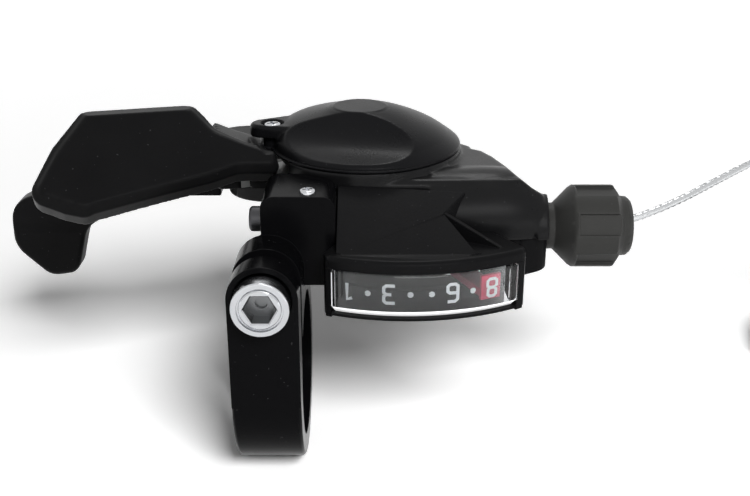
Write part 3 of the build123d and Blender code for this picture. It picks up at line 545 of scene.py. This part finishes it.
def stranded_tube(name, line):
    """A tube whose section has one lobe for each outer strand and turns along the line."""
    sides = STRANDS * 2
    verts, faces = [], []
    along = (line[1] - line[0]).normalized()
    across = along.orthogonal().normalized()
    for k, centre in enumerate(line):
        if 0 < k < len(line) - 1:
            new_along = (line[k + 1] - line[k - 1]).normalized()
            across.rotate(along.rotation_difference(new_along))
            along = new_along
        third = along.cross(across)
        twist = 2 * pi * k * RING_STEP / LAY_LENGTH
        for s in range(sides):
            r = (WIRE_DIAMETER / 2 - (STRAND_DEPTH if s % 2 else 0.0)) * MM
            a = 2 * pi * s / sides + twist
            verts.append(centre + (across * cos(a) + third * sin(a)) * r)
    for k in range(len(line) - 1):
        for s in range(sides):
            t = (s + 1) % sides
            faces.append((k * sides + s, k * sides + t, (k + 1) * sides + t, (k + 1) * sides + s))
    last = (len(line) - 1) * sides
    faces.append(tuple(reversed(range(sides))))
    faces.append(tuple(range(last, last + sides)))
    mesh = bpy.data.meshes.new(name)
    mesh.from_pydata([tuple(v) for v in verts], [], faces)
    tube = bpy.data.objects.new(name, mesh)
    bpy.context.scene.collection.objects.link(tube)
    return smooth(tube, 70)


wire_centres = spaced(wire_line(route + coil_points()), RING_STEP * MM)
inner_wire = stranded_tube("inner_wire", wire_centres)
dress(inner_wire, wire_steel, "shifter_body", ("cable_run", "cable_coil"))
coil_band = skin_of("coil_tie", "coil_band", 0.1)
dress(coil_band, tie_white, "shifter_body", ("coil_tie",))

# Skins over the solids
slots = {row["node"]: row["material_slot"] for row in frame["record"]["subparts"]}
# Solid, piece, finish, body and width of the broken edges
skins = (
    ("handlebar_clamp", "clamp_casting", black_paint, "shifter_body", 0.15),
    ("lower_housing", "lower_shell", satin_black, "shifter_body", 0.12),
    ("pointer", "red_pointer", crimson, "pointer", 0.05),
    ("dial_plate", "dial", dial_grey, "shifter_body", 0.0),
    ("adjuster_knob", "knob", knob_black, "adjuster", 0.15),
)
for node, name, finish, body, edge in skins:
    dress(skin_of(node, name, edge), finish, body, (node,))

# Levers: the paddle, its neck and its hub flow into each other, and the paddle's rim swells out
PADDLE_CENTRE = Vector((-21.5, 4.5, 30.4))
PADDLE_TILT = radians(42)
PADDLE_YAW = radians(14)
UPPER_GROWTH = 0.8
LEFT_GROWTH = 0.8
LOWER_TRIM = 0.1
LOBE_CENTRE = (-6.2, 26.8, 27.68)
LOBE_R = 5.2
LOBE_HEIGHT = 0.95
LEVER_GRAIN = 0.24
FOOT_TOP = 23.8
FOOT_LEFT = -12.0
FOOT_LIFT = 0.25
paddle_along = Vector((cos(PADDLE_YAW), sin(PADDLE_YAW), 0))
paddle_out = Vector((sin(PADDLE_YAW) * cos(PADDLE_TILT), -cos(PADDLE_YAW) * cos(PADDLE_TILT),
                     sin(PADDLE_TILT)))
paddle_up = paddle_out.cross(paddle_along)


def paddle_growth(place):
    """Growth of the paddle's rim: most at its upper and left edges, none at the neck."""
    along = (place - PADDLE_CENTRE).dot(paddle_along)
    up = (place - PADDLE_CENTRE).dot(paddle_up)
    rim = UPPER_GROWTH * ramp(up, -5, 3) + LEFT_GROWTH * ramp(-along, 5, 9) - LOWER_TRIM
    return rim * (1 - ramp(along, 12, 18))


hub_lobe = rod("hub_lobe", LOBE_R, LOBE_HEIGHT, LOBE_CENTRE)
paddle = soft_skin_of("thumb_paddle", "paddle", LEVER_GRAIN, 4, hub_lobe)
swell(paddle, paddle_growth, paddle_out)
for vertex in paddle.data.vertices:
    vertex.co.z = min(vertex.co.z, cad_box[1][2])
# The foot stays clear of the upper shell while the lever turns
shift(paddle, lambda place: place.z < FOOT_TOP and place.x > FOOT_LEFT, (0, 0, FOOT_LIFT))
dress(smooth(paddle, SOFT_ANGLE), lever_black, "thumb_lever", ("thumb_paddle",))

WEB_SIZE = (7.0, 4.6, 2.6)
WEB_CENTRE = (-14.2, 27.4, 19.4)
TIP_DROP = 0.85
TIP_NARROWING = 0.6
arm_web = block(WEB_SIZE, WEB_CENTRE)
trigger = soft_skin_of("release_trigger", "trigger", LEVER_GRAIN, 3, arm_web)
for vertex in trigger.data.vertices:
    left = -vertex.co.x / MM
    vertex.co.z -= TIP_DROP * MM * ramp(left, 30, 37)
    vertex.co.x -= TIP_NARROWING * MM * ramp(left, 26, 31) * (1 - ramp(left, 33, 40))
dress(smooth(trigger, SOFT_ANGLE), lever_black, "release_lever", ("release_trigger",))

# Upper shell: the lid's end falls in one round sweep to the collar
LID_SWEEP = ((30.2, 29.5), (32.1, 29.1), (34.0, 28.1), (36.2, 26.5), (38.2, 24.8), (40.3, 23.1),
             (42.0, 22.0))
SWEEP_Y = 16.0
SWEEP_REACH = (-16, 14)
SWEEP_DRIFT = 0.12
SWEEP_SLOPE = -0.325
SWEEP_TOP = 40.0
SWEEP_RIGHT = 60.0
SHELL_GRAIN = 0.28


def sweep_cutter():
    """A block above the lid's sweep, slanted down towards the back."""
    outline = [*LID_SWEEP, (SWEEP_RIGHT, LID_SWEEP[-1][1]), (SWEEP_RIGHT, SWEEP_TOP),
               (LID_SWEEP[0][0], SWEEP_TOP)]
    count = len(outline)
    verts = [mm(x + SWEEP_DRIFT * reach, SWEEP_Y + reach, z + SWEEP_SLOPE * reach)
             for reach in SWEEP_REACH for x, z in outline]
    sides = [(k, (k + 1) % count, (k + 1) % count + count, k + count) for k in range(count)]
    mesh = bpy.data.meshes.new("lid_sweep")
    mesh.from_pydata(verts, [], [tuple(range(count)), tuple(reversed(range(count, 2 * count))), *sides])
    cutter = bpy.data.objects.new("lid_sweep", mesh)
    bpy.context.scene.collection.objects.link(cutter)
    edit(cutter)
    bpy.ops.mesh.select_all(action="SELECT")
    bpy.ops.mesh.normals_make_consistent(inside=False)
    done()
    return cutter


upper_shell = copy_of("upper_housing", "upper_shell")
cut(upper_shell, sweep_cutter())
soften(upper_shell, SHELL_GRAIN, 5)
dress(smooth(upper_shell, SOFT_ANGLE), shell_black, "shifter_body", ("upper_housing",))

# Dome: soft scoop, a thin lip at its foot and a crisp recess for the screw at its tip
DOME_CENTRE = (14.2, 20.5)
DOME_FOOT = 29.4
DOME_GRAIN = 0.22
DOME_TUCK = 0.03
LIP_TOP = 29.2
LIP_GROWTH = 0.03
RECESS_R = 1.95
RECESS_DEPTH = 4.0


def spread(vertex, share):
    """Moves a point of the dome away from its axis by a share of its distance."""
    vertex.co.x += (vertex.co.x - DOME_CENTRE[0] * MM) * share
    vertex.co.y += (vertex.co.y - DOME_CENTRE[1] * MM) * share


dome = soft_skin_of("top_cover", "dome", DOME_GRAIN, 4)
for vertex in dome.data.vertices:
    place = vertex.co / MM
    spread(vertex, -DOME_TUCK * ramp(place.z, DOME_FOOT, DOME_FOOT + 1.5) * ramp(place.x, 4, 12))
cut(dome, rod("tip_recess", RECESS_R, RECESS_DEPTH, (TIP_SCREW[0], TIP_SCREW[1], TIP_SCREW[2] + 0.05)))
lip = copy_of("top_cover", "dome_lip")
cut(lip, block((60, 60, 12), (*DOME_CENTRE, LIP_TOP + 6)))
for vertex in lip.data.vertices:
    spread(vertex, LIP_GROWTH * (1 - ramp(vertex.co.x / MM, 18, 25)))
break_edges(lip, 0.14)
join(dome, lip)
dress(smooth(dome, 40), cover_black, "shifter_body", ("top_cover",))

# Display shell with a rolled top edge, a raised lower lip and wide posts at the window's ends
WINDOW_ENDS = (249.3, 300.8)
FRAME_ENDS = (247.5, 303.1)
WINDOW_MID = 15.0
LOWER_RISE = 0.55
LIP_LEVEL = 11.4
POST_HEIGHT = 7.6
RIM_BEVEL = 0.8
display_shell = copy_of("display_housing", "display_shell")
shift(display_shell, lambda place: place.z < LIP_LEVEL, (0, 0, LOWER_RISE))


def on_display_rim(place):
    """True on the top edge of the display's front, its right end and the round corner between."""
    away = hypot(place.x - DIAL_CENTRE[0], place.y - DIAL_CENTRE[1])
    angle = degrees(atan2(place.y - DIAL_CENTRE[1], place.x - DIAL_CENTRE[0])) + 360
    right_end = abs(angle - DISPLAY_RIGHT) < 0.25
    corner = away > DISPLAY_R - 1.6 and place.x > 35
    return abs(place.z - DISPLAY_TOP) < 0.02 and (abs(away - DISPLAY_R) < 0.12 or right_end or corner)


def at_dial(r, angle, z):
    """A point at a distance and angle from the dial's centre, in millimetres."""
    return (DIAL_CENTRE[0] + r * cos(radians(angle)), DIAL_CENTRE[1] + r * sin(radians(angle)), z)


edit(display_shell)
pick_edges(display_shell, on_display_rim)
bpy.ops.mesh.bevel(offset=RIM_BEVEL * MM, segments=4, profile=0.5, clamp_overlap=False)
done()
for near, far in zip(WINDOW_ENDS, FRAME_ENDS):
    middle = (near + far) / 2
    width = radians(abs(far - near)) * DISPLAY_R
    post_centre = at_dial((DISPLAY_R + LENS_BACK - 0.04) / 2, middle, WINDOW_MID)
    post = block((width, DISPLAY_R - LENS_BACK + 0.04, POST_HEIGHT), post_centre, middle + 90)
    apply_modifier(display_shell, "BOOLEAN", operation="UNION", solver="EXACT", object=post)
    bpy.data.objects.remove(post)
break_edges(display_shell, 0.12)
dress(smooth(display_shell), satin_black, "shifter_body", ("display_housing",))

# Lens: clear front, with a chamfer and two ends that carry a painted highlight and glow
LENS_LOWER_HALF = 13.0
LENS_BEVEL = 0.26
END_CUT = 8.0
lens = copy_of("display_lens", "display_window")
shift(lens, lambda place: place.z < LENS_LOWER_HALF, (0, 0, LOWER_RISE - 0.02))
for angle, side in zip(WINDOW_ENDS, (-1, 1)):
    sideways = Vector((-sin(radians(angle)), cos(radians(angle)), 0)) * (END_CUT / 2) * side
    cut(lens, block((END_CUT, END_CUT, 12), Vector(at_dial(DISPLAY_R, angle, WINDOW_MID)) + sideways, angle))
break_edges(lens, LENS_BEVEL, 60, 2)
smooth(lens)
dress(lens, clear_acrylic, "shifter_body", ("display_lens",))
lens.data.materials.append(lens_rim_glow)
# The front chamfer and the bevelled ends get the painted highlight and glow
for face in lens.data.polygons:
    centre = face.center / MM
    spoke = Vector((centre.x - DIAL_CENTRE[0], centre.y - DIAL_CENTRE[1], 0)).normalized()
    outward = face.normal.dot(spoke)
    front_chamfer = face.normal.z < -0.3 and outward > 0.3
    end_bevel = 0.2 < outward < 0.93 and abs(face.normal.z) < 0.3
    if front_chamfer or end_bevel:
        face.material_index = 1

# Dial figures: white strokes on the back of the lens, upside down in the photograph
STROKE = 0.26
FIGURE_Z = 15.0
FIRST_FIGURE = 252.8
FIGURE_STEP = 5.97
INK_R = LENS_BACK - 0.05
INK_FLATNESS = 0.06
ONE = (((-0.75, 0.95), (0.0, 1.25), (0.0, -1.3)),)
THREE = (((-0.85, 1.35), (0.4, 1.35), (0.75, 1.05), (0.75, 0.3), (0.4, 0.0), (-0.35, 0.0)),
         ((0.4, 0.0), (0.75, -0.3), (0.75, -1.05), (0.4, -1.35), (-0.85, -1.35)))
SIX = (((0.75, 1.35), (-0.35, 1.35), (-0.75, 1.0), (-0.75, -1.05), (-0.4, -1.35), (0.4, -1.35),
        (0.75, -1.05), (0.75, -0.3), (0.4, 0.0), (-0.75, 0.0)),)
EIGHT = (((0.3, 0.0), (0.65, 0.3), (0.65, 1.05), (0.35, 1.35), (-0.35, 1.35), (-0.65, 1.05),
          (-0.65, 0.3), (-0.3, 0.0), (-0.75, -0.3), (-0.75, -1.05), (-0.4, -1.35), (0.4, -1.35),
          (0.75, -1.05), (0.75, -0.3), (0.3, 0.0), (-0.3, 0.0)),)
DOT_R = 0.2
DOT = ([(DOT_R * cos(k * pi / 6), DOT_R * sin(k * pi / 6)) for k in range(13)],)
figures = (ONE, DOT, THREE, DOT, DOT, SIX, DOT, EIGHT)


def dial_figure(name, strokes, angle):
    """One printed figure: round strokes pressed flat and set behind the lens, upside down."""
    data = bpy.data.curves.new(name, "CURVE")
    data.dimensions = "3D"
    data.bevel_depth = STROKE * MM
    data.bevel_resolution = 3
    data.use_fill_caps = True
    for stroke in strokes:
        spline = data.splines.new("POLY")
        spline.points.add(len(stroke) - 1)
        for slot, (x, y) in zip(spline.points, stroke):
            slot.co = (-x * MM, -y * MM, 0, 1)
    figure = bpy.data.objects.new(name, data)
    bpy.context.scene.collection.objects.link(figure)
    take(figure)
    bpy.ops.object.convert(target="MESH")
    figure = bpy.context.object
    figure.scale = (1, 1, INK_FLATNESS)
    settle(figure)
    figure.rotation_euler = (radians(90), 0, radians(angle - 270))
    figure.location = mm(*at_dial(INK_R, angle, FIGURE_Z))
    return settle(figure)


ink = join(*[dial_figure(f"dial_figure_{k}", strokes, FIRST_FIGURE + FIGURE_STEP * k)
             for k, strokes in enumerate(figures)])
ink.name = "dial_figures"
dress(smooth(ink, 50), dial_ink, "shifter_body")

# Clamp bolt: round head with a turned groove, a raised face and a hexagon socket
HEAD_FRONT = BOLT_SEAT - BOLT_HEAD
HEAD_RIM = 0.22
HEAD_BEVEL = 0.18
# Thickness and depth of each step from the head's rim to its raised face
HEAD_STEPS = ((0.55, 0.0), (0.06, -0.4), (0.2, 0.0), (0.06, 0.25), (0.18, 0.12))
SOCKET_ACROSS = 4.0
SOCKET_FLOOR = 2.6
SPOT_R = 0.9
SPOT_FLOOR = 3.1
bolt = rod("bolt", BOLT_HEAD_R, BOLT_HEAD, (0, BOLT_SEAT, BOLT_HEIGHT), "rider", 72)


def off_bolt(place):
    """Distance from the bolt's axis."""
    return hypot(place.x, place.z - BOLT_HEIGHT)


def bolt_front(centre, normal):
    return normal.y < -0.9 and centre.y < HEAD_FRONT + 0.01


edit(bolt)
pick_faces(bolt, bolt_front)
bpy.ops.mesh.inset(thickness=HEAD_RIM * MM, depth=0)
done()
edit(bolt)
pick_edges(bolt, lambda place: place.y < HEAD_FRONT + 0.01 and off_bolt(place) > BOLT_HEAD_R - 0.02)
bpy.ops.mesh.bevel(offset=HEAD_BEVEL * MM, segments=3, profile=0.5)
pick_faces(bolt, lambda centre, normal: bolt_front(centre, normal) and off_bolt(centre) < 1.0)
for thickness, depth in HEAD_STEPS:
    bpy.ops.mesh.inset(thickness=thickness * MM, depth=depth * MM)
done()
socket_r = SOCKET_ACROSS / 2 / cos(pi / 6)
socket = rod("socket", socket_r, SOCKET_FLOOR + 0.1, (0, HEAD_FRONT + SOCKET_FLOOR, BOLT_HEIGHT), "rider", 6)
spot = rod("spot", SPOT_R, SPOT_FLOOR + 0.1, (0, HEAD_FRONT + SPOT_FLOOR, BOLT_HEIGHT), "rider", 32)
clear_selection()
bpy.ops.mesh.primitive_cone_add(vertices=6, radius1=2.1 * MM, radius2=2.75 * MM, depth=0.6 * MM,
                                rotation=TURNS["rider"], location=mm(0, HEAD_FRONT + 0.1, BOLT_HEIGHT))
mouth = settle(bpy.context.object)
cut(bolt, socket, spot, mouth)
shank = rod("bolt_shank", BOLT_R, BOLT_END - BOLT_SEAT + 0.2, (0, BOLT_END, BOLT_HEIGHT), "rider", 48)
bolt = join(bolt, shank)
dress(smooth(bolt, 30), chrome, "shifter_body", ("clamp_bolt",))
bolt.data.materials.append(shaded_socket_metal)
# The faces inside the socket get the darker steel with painted shade
for face in bolt.data.polygons:
    centre = face.center / MM
    if HEAD_FRONT + 0.45 < centre.y < BOLT_SEAT and off_bolt(centre) < 2.4:
        face.material_index = 1


def cross_head(name, base, radius, height, shank_r, shank, bar):
    """A small screw with a rounded rim and a cross recess, standing on its base point."""
    screw = rod(name, radius, height, base, "up", 40)
    edit(screw)
    top = base[2] + height
    pick_edges(screw, lambda place: place.z > top - 0.01)
    bpy.ops.mesh.bevel(offset=min(0.35, height * 0.5) * MM, segments=4, profile=0.5)
    done()
    for turn in (20, 110):
        cut(screw, block((bar, bar * 0.24, height), (base[0], base[1], top), turn))
    return join(screw, rod(name + "_shank", shank_r, shank, (base[0], base[1], base[2] - shank), "up", 24))


tip_screw = cross_head("tip_screw", TIP_SCREW, radius=1.35, height=0.8, shank_r=0.8, shank=4.8, bar=1.8)
dress(smooth(tip_screw, 30), chrome, "shifter_body", ("cover_screw",))
set_screw = cross_head("set_screw", LOCK_SCREW, radius=1.2, height=0.6, shank_r=0.8, shank=1.35, bar=1.5)
dress(smooth(set_screw, 30), chrome, "shifter_body", ("lock_screw",))

# Cross screw: its head stands further out than the solid's, as in the photograph
CROSS_HEAD = 2.1
CROSS_HEAD_R = 1.9
CROSS_SHANK = 9.7
CROSS_SHANK_R = 1.2
CROSS_SOCKET_R = 1.15
CROSS_SOCKET_DEPTH = 1.0
head_x, head_y, head_z = CROSS_SCREW
cross_screw = rod("cross_screw", CROSS_HEAD_R, CROSS_HEAD, CROSS_SCREW, "left", 40)
edit(cross_screw)
pick_edges(cross_screw, lambda place: place.x < head_x - CROSS_HEAD + 0.01)
bpy.ops.mesh.bevel(offset=0.5 * MM, segments=4, profile=0.5)
done()
socket_floor = (head_x - CROSS_HEAD + CROSS_SOCKET_DEPTH, head_y, head_z)
cut(cross_screw, rod("cross_socket", CROSS_SOCKET_R, CROSS_SOCKET_DEPTH + 0.2, socket_floor, "left", 6))
shank_end = (head_x + CROSS_SHANK, head_y, head_z)
join(cross_screw, rod("cross_shank", CROSS_SHANK_R, CROSS_SHANK, shank_end, "left", 32))
dress(smooth(cross_screw, 30), black_steel, "shifter_body", ("post_screw",))

# Solids that show little keep their own mesh and get the right finish
inner_finishes = {"steel": plated_steel, "spring_steel": spring_steel, "reel_plastic": reel_white,
                  "wire_steel": wire_steel}
for node, solid in frame["nodes"].items():
    if slots[node] in inner_finishes and node not in ("cable_run", "cable_coil"):
        solid.data.materials.clear()
        solid.data.materials.append(inner_finishes[slots[node]])

# Floor, world and lamps
FLOOR_SIZE = 8.0
clear_selection()
bpy.ops.mesh.primitive_plane_add(size=FLOOR_SIZE, location=(0, 0, FLOOR_Z * MM))
floor = bpy.context.object
floor.name = "floor"


def white_rays(f):
    """One for the rays that should see a plain white background."""
    camera_ray, glossy_ray, through_ray = (f.node("LightPath", out=f"Is {kind} Ray")
                                           for kind in ("Camera", "Glossy", "Transmission"))
    return camera_ray + glossy_ray + through_ray


# The floor fades to white away from the part and keeps the part's shadow
FAR_LIFT = 0.6
LIFT_START = 0.12
LIFT_RUN = 0.4
f = Finish("pale_floor")
paper = f.node("BsdfDiffuse", None, {"Color": (0.9, 0.9, 0.9, 1)})
away = f.node("VectorMath", {"operation": "LENGTH"}, {0: f.place()}, out=1)
rise = f.node("Clamp", None, {0: (away - LIFT_START) / LIFT_RUN})
lift = f.node("Emission", None, {"Color": (1, 1, 1, 1), "Strength": rise * FAR_LIFT})
glow = f.node("AddShader", None, {0: f.node("BsdfDiffuse", None, {"Color": (0.4, 0.4, 0.4, 1)}), 1: lift})
dark = f.node("Emission", None, {"Color": (0, 0, 0, 1), "Strength": 0.0})
seen = f.node("MixShader", None, {0: white_rays(f), 1: dark, 2: glow})
floor.data.materials.append(f.end(f.node("AddShader", None, {0: paper, 1: seen})))

world = bpy.data.worlds.new("studio")
bpy.context.scene.world = world
# The room lights the part more from the front and the back than from the sides
SIDE_LIGHT = 0.1
END_LIGHT = 0.42
f = Finish("studio", world)
towards = f.node("SeparateXYZ", None, {0: f.node("TexCoord", out="Generated")}, out="Y")
room = SIDE_LIGHT + towards * towards * (END_LIGHT - SIDE_LIGHT)
f.end(f.node("Background", None, {"Color": (1, 1, 1, 1), "Strength": room + white_rays(f) * (1 - room)}))


def softbox(name, place, target, size, power):
    """A lamp at a place in millimetres that faces its target; its size is in metres."""
    data = bpy.data.lights.new(name, "AREA")
    data.shape = "RECTANGLE"
    data.size, data.size_y = size
    data.energy = power
    lamp = bpy.data.objects.new(name, data)
    bpy.context.scene.collection.objects.link(lamp)
    lamp.location = mm(*place)
    lamp.rotation_euler = (mm(*target) - lamp.location).to_track_quat("-Z", "Y").to_euler()
    return lamp


# The key gives light and shadow only, the panels reflections only
KEY_TARGET = (8, 10, 5)
PANEL_TARGET = (15, 12, 28)
key = softbox("key_softbox", (380, -830, 800), KEY_TARGET, (0.45, 0.45), 15.9)
key.visible_glossy = False
# Name, place, size and power
panels = (
    ("high_back_panel", (45, 390, 620), (0.2, 0.14), 0.8),
    ("low_front_panel", (160, -850, 490), (0.5, 0.3), 1.7),
)
for name, place, size, power in panels:
    softbox(name, place, PANEL_TARGET, size, power).visible_diffuse = False

bpy.context.scene.view_settings.view_transform = "Standard"
